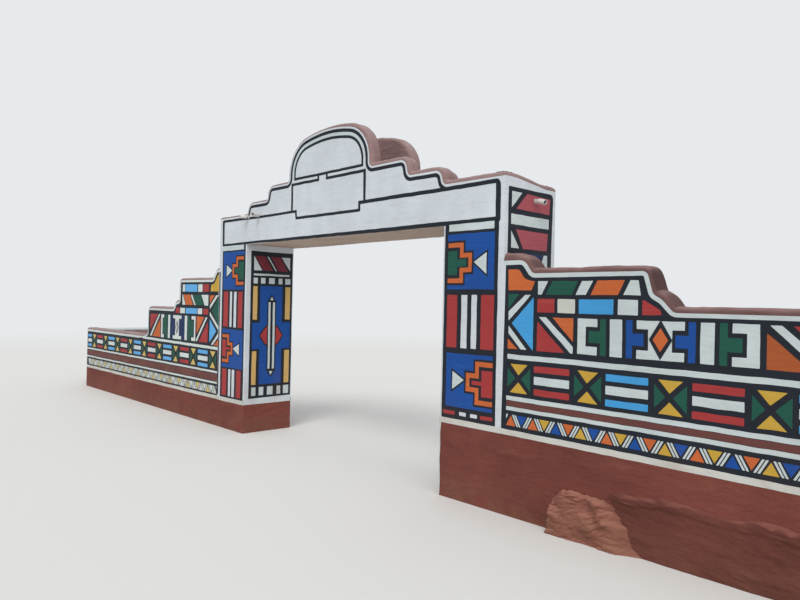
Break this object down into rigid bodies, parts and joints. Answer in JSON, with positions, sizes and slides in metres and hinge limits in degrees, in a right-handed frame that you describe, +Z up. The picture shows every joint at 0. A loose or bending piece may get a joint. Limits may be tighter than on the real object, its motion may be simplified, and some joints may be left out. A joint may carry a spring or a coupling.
{
  "type": "painted masonry homestead gateway with stepped boundary walls",
  "caption": "Masonry gateway with square piers, a flat roof between arched parapets, and stepped painted boundary walls that end in short returns.",
  "frame": {"origin": "on the ground at the centre of the whole footprint, which is midway between the piers and inside the passage", "axes": "+X to the right along the front as seen from in front, +Y from the front towards the yard, +Z up"},
  "size_m": [16.28, 1.65, 3.92],
  "materials": {
    "wall_paint": "brushed white wall paint on cement plaster",
    "plinth_paint": "matt terracotta wash on cement plaster",
    "coping_paint": "matt brown paint on rounded plaster",
    "soffit_plaster": "bare tan plaster",
    "camera_shell": "white powder coat",
    "camera_metal": "pale grey powder coat",
    "black_paint": "brushed black wall paint",
    "blue_paint": "brushed deep blue wall paint",
    "sky_paint": "brushed light blue wall paint",
    "red_paint": "brushed red wall paint",
    "orange_paint": "brushed orange wall paint",
    "yellow_paint": "brushed yellow wall paint",
    "green_paint": "brushed green wall paint",
    "lens_glass": "dark glossy lens"
  },
  "bodies": {
    "root": {"left_pylon_shaft": "wall_paint", "right_pylon_shaft": "wall_paint", "front_lintel": "wall_paint", "rear_lintel": "wall_paint", "left_end_wall": "wall_paint", "right_end_wall": "wall_paint", "front_arch": "wall_paint", "front_left_shoulders": "wall_paint", "front_right_shoulders": "wall_paint", "left_stepped_wall": "wall_paint", "left_low_wall": "wall_paint", "right_stepped_wall": "wall_paint", "right_low_wall": "wall_paint", "left_pylon_plinth": "plinth_paint", "right_pylon_plinth": "plinth_paint", "left_wall_plinth": "plinth_paint", "right_wall_plinth": "plinth_paint", "left_return_plinth": "plinth_paint", "right_return_plinth": "plinth_paint", "right_wall_foot": "plinth_paint", "right_wall_haunch": "plinth_paint", "rear_arch": "coping_paint", "rear_left_shoulders": "coping_paint", "rear_right_shoulders": "coping_paint", "front_coping": "coping_paint", "rear_coping": "coping_paint", "left_end_coping": "coping_paint", "right_end_coping": "coping_paint", "left_wall_coping": "coping_paint", "right_wall_coping": "coping_paint", "left_return_wall": "coping_paint", "right_return_wall": "coping_paint", "left_return_coping": "coping_paint", "right_return_coping": "coping_paint", "roof_slab": "soffit_plaster", "left_camera": "camera_shell", "middle_camera": "camera_shell", "right_camera": "camera_shell", "left_camera_bracket": "camera_metal", "middle_camera_bracket": "camera_metal", "right_camera_bracket": "camera_metal"}
  },
  "joints": []
}
